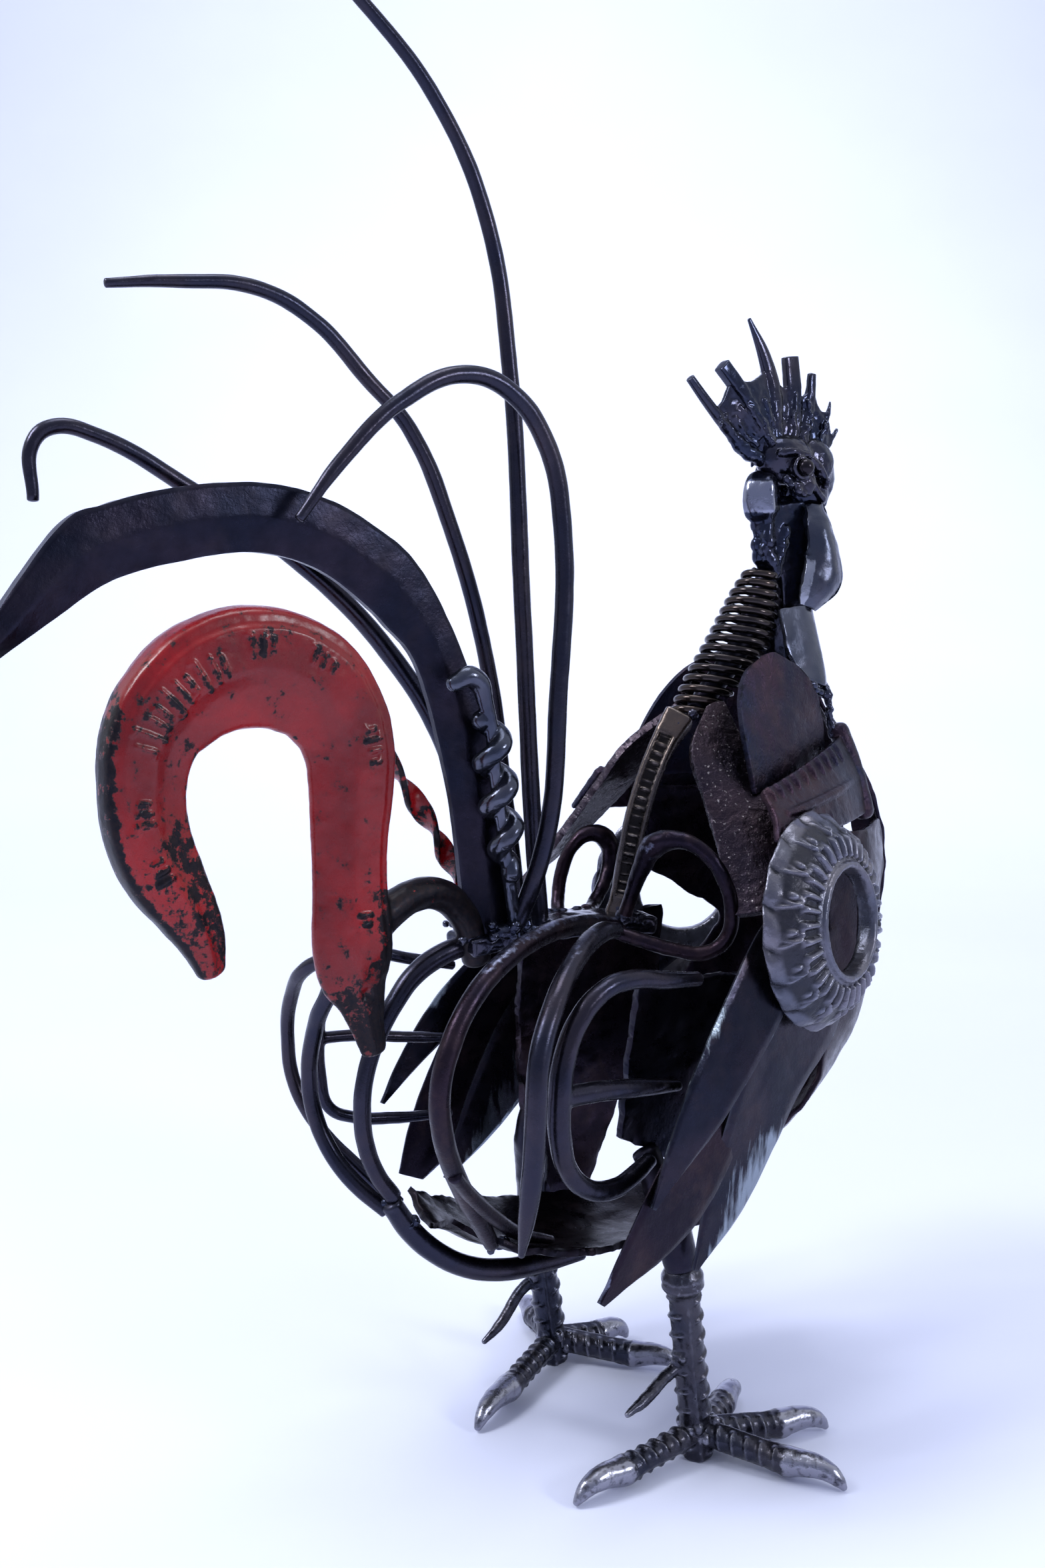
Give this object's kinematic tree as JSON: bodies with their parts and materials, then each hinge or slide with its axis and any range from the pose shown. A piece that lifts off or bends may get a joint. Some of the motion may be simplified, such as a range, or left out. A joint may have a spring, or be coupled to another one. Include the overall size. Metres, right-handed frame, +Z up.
{
  "type": "scrap metal rooster sculpture",
  "caption": "Standing rooster welded from scrap steel: rods and a hook for the tail, tines for the cage, plates, a spring neck, ribbed bar legs.",
  "frame": {"origin": "middle of the underside of the object's box, on the floor between the feet", "axes": "+X the way the rooster faces, +Y its left side, +Z up"},
  "size_m": [0.4794, 0.2336, 0.6896],
  "materials": {
    "black_steel": "blackened, oiled sheen with ground edges",
    "brown_steel": "brown-black heat and rust patina, oiled",
    "red_enamel": "worn glossy red enamel with dark chips",
    "spring_bronze": "bronze-brown tempered, shiny",
    "cast_grey": "pewter-grey cast surface, satin",
    "pale_steel": "light grey ground steel",
    "bar_steel": "ribbed reinforcing bar, worn pale on its ribs"
  },
  "bodies": {
    "root": {"auger": "cast_grey", "back_plate": "black_steel", "belly_plate": "brown_steel", "belly_tine": "brown_steel", "breast_plate_left": "brown_steel", "breast_plate_right": "brown_steel", "breast_strip": "brown_steel", "centre_tine": "black_steel", "comb": "black_steel", "crane_hook": "red_enamel", "fork_left": "black_steel", "fork_right": "black_steel", "hay_tine": "black_steel", "hip_plate_left": "black_steel", "hip_plate_right": "black_steel", "hoop_big": "brown_steel", "hoop_inner": "black_steel", "hoop_outer": "black_steel", "hub_ring_left": "cast_grey", "hub_ring_right": "cast_grey", "keel_bar": "black_steel", "neck_bar": "black_steel", "neck_spring": "spring_bronze", "rough_plate_left": "brown_steel", "rough_plate_right": "brown_steel", "shank_left": "bar_steel", "shank_right": "bar_steel", "shear_bow_left": "brown_steel", "shear_bow_right": "brown_steel", "sickle_bar": "black_steel", "skull": "black_steel", "spine_handle": "brown_steel", "tail_rod_arched": "black_steel", "tail_rod_bent": "black_steel", "tail_rod_low": "black_steel", "tail_rod_tall": "black_steel", "thigh_left": "black_steel", "thigh_right": "black_steel", "throat_plate": "pale_steel", "toe_back_left": "bar_steel", "toe_back_right": "bar_steel", "toe_inner_left": "bar_steel", "toe_inner_right": "bar_steel", "toe_middle_left": "bar_steel", "toe_middle_right": "bar_steel", "toe_outer_left": "bar_steel", "toe_outer_right": "bar_steel", "tongue_plate_left": "black_steel", "tongue_plate_right": "black_steel", "toothed_bracket_left": "black_steel", "toothed_bracket_right": "black_steel", "twisted_strip": "red_enamel", "wattle_left": "pale_steel", "wattle_right": "pale_steel", "wing_blade_lower_left": "black_steel", "wing_blade_lower_right": "black_steel", "wing_blade_middle_left": "brown_steel", "wing_blade_middle_right": "brown_steel", "wing_blade_upper_left": "black_steel", "wing_blade_upper_right": "black_steel"}
  },
  "joints": []
}
